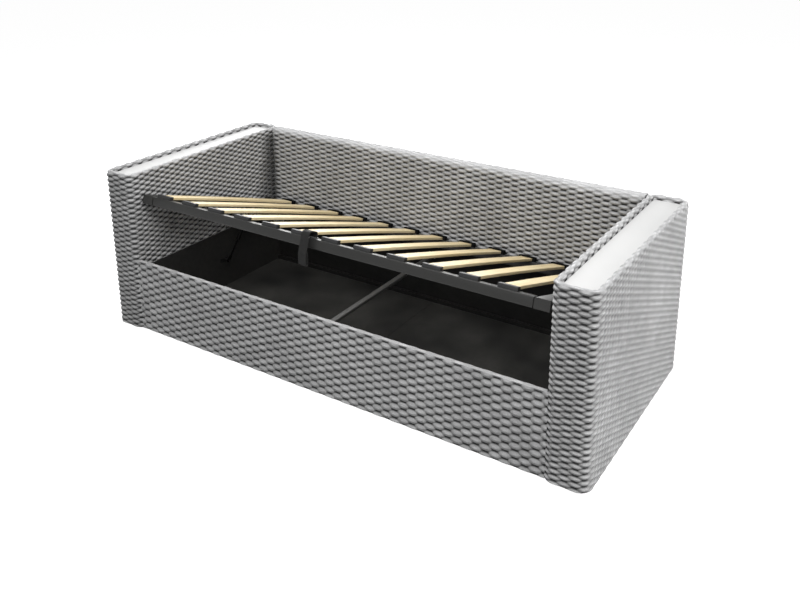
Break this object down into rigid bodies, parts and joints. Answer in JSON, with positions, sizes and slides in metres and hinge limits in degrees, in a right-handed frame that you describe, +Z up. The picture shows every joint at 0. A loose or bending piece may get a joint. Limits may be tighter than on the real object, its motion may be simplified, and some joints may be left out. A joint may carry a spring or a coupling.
{
  "type": "storage bed",
  "caption": "Upholstered single storage bed with arms, a back, a storage box and a slatted base that lifts on gas struts.",
  "frame": {"origin": "on the floor under the middle of the bed", "axes": "+X along the bed's length, +Y towards its back, +Z up"},
  "size_m": [2.37, 1.035, 0.76],
  "materials": {
    "upholstery": "woven grey upholstery with puffed cells",
    "white_panel": "white satin laminate",
    "board": "raw board",
    "black_board": "black laminate on board",
    "grey_steel": "grey powder coat",
    "dark_steel": "dark grey powder coat",
    "zinc_steel": "zinc plated",
    "black_steel": "black satin paint",
    "bright_rod": "polished rod",
    "beech": "lacquered beech",
    "black_plastic": "moulded black plastic",
    "webbing": "dark woven webbing"
  },
  "bodies": {
    "root": {"left_arm_carcass": "board", "right_arm_carcass": "board", "left_arm_rim_battens": "board", "right_arm_rim_battens": "board", "left_arm_upholstery": "upholstery", "right_arm_upholstery": "upholstery", "left_arm_top_panel": "white_panel", "right_arm_top_panel": "white_panel", "back_board": "black_board", "back_upholstery": "upholstery", "rear_cover": "upholstery", "front_rail_board": "black_board", "front_rail_upholstery": "upholstery", "left_box_end_panel": "black_board", "right_box_end_panel": "black_board", "rear_box_panel": "black_board", "left_floor_panel": "black_board", "right_floor_panel": "black_board", "floor_cleats": "black_board", "centre_bar": "grey_steel", "centre_bar_brackets": "zinc_steel", "corner_brackets": "zinc_steel", "left_pivot_bracket": "zinc_steel", "right_pivot_bracket": "zinc_steel", "left_pivot_pin": "zinc_steel", "right_pivot_pin": "zinc_steel", "left_strut_stud": "zinc_steel", "right_strut_stud": "zinc_steel", "screw_heads": "zinc_steel", "glides": "black_plastic"},
    "slat_base": {"base_front_rail": "dark_steel", "base_rear_rail": "dark_steel", "left_base_end_rail": "dark_steel", "right_base_end_rail": "dark_steel", "rail_end_caps": "dark_steel", "pivot_bushes": "black_plastic", "left_strut_hanger": "dark_steel", "right_strut_hanger": "dark_steel", "slat_01": "beech", "slat_02": "beech", "slat_03": "beech", "slat_04": "beech", "slat_05": "beech", "slat_06": "beech", "slat_07": "beech", "slat_08": "beech", "slat_09": "beech", "slat_10": "beech", "slat_11": "beech", "slat_12": "beech", "front_slat_holders": "black_plastic", "rear_slat_holders": "black_plastic", "strap_band": "webbing", "strap_foot_plate": "zinc_steel"},
    "left_strut_rod": {"left_strut_rod": "bright_rod"},
    "right_strut_rod": {"right_strut_rod": "bright_rod"},
    "left_strut_cylinder": {"left_strut_cylinder": "black_steel"},
    "right_strut_cylinder": {"right_strut_cylinder": "black_steel"},
    "pull_strap": {"strap_loop": "webbing"}
  },
  "joints": [
    {"name": "base_lift", "type": "hinge", "parent": "root", "child": "slat_base", "pos_m": [0, 0.36, 0.367], "axis": [-1, 0, 0], "range_deg": [-18.4, 13.6]},
    {"name": "left_strut_swing", "type": "hinge", "parent": "root", "child": "left_strut_rod", "pos_m": [-0.9705, 0.03, 0.158], "axis": [1, 0, 0], "range_deg": [-6.8, 5.1]},
    {"name": "left_strut_extend", "type": "slide", "parent": "left_strut_rod", "child": "left_strut_cylinder", "axis": [0, 0.6244, 0.7811], "range_m": [-0.0374, 0.0277]},
    {"name": "right_strut_swing", "type": "hinge", "parent": "root", "child": "right_strut_rod", "pos_m": [0.9705, 0.03, 0.158], "axis": [1, 0, 0], "range_deg": [-6.8, 5.1]},
    {"name": "right_strut_extend", "type": "slide", "parent": "right_strut_rod", "child": "right_strut_cylinder", "axis": [0, 0.6244, 0.7811], "range_m": [-0.0374, 0.0277]},
    {"name": "strap_swing", "type": "hinge", "parent": "slat_base", "child": "pull_strap", "pos_m": [-0.041, -0.49081, 0.62895], "axis": [-1, 0, 0], "range_deg": [-13.7, 18.5]}
  ],
  "couplings": [
    {"joint": "left_strut_swing", "follows": "base_lift", "ratio": 0.363},
    {"joint": "left_strut_extend", "follows": "base_lift", "m_per_rad": 0.1159},
    {"joint": "right_strut_swing", "follows": "base_lift", "ratio": 0.363},
    {"joint": "right_strut_extend", "follows": "base_lift", "m_per_rad": 0.1159},
    {"joint": "strap_swing", "follows": "base_lift", "ratio": -1}
  ]
}
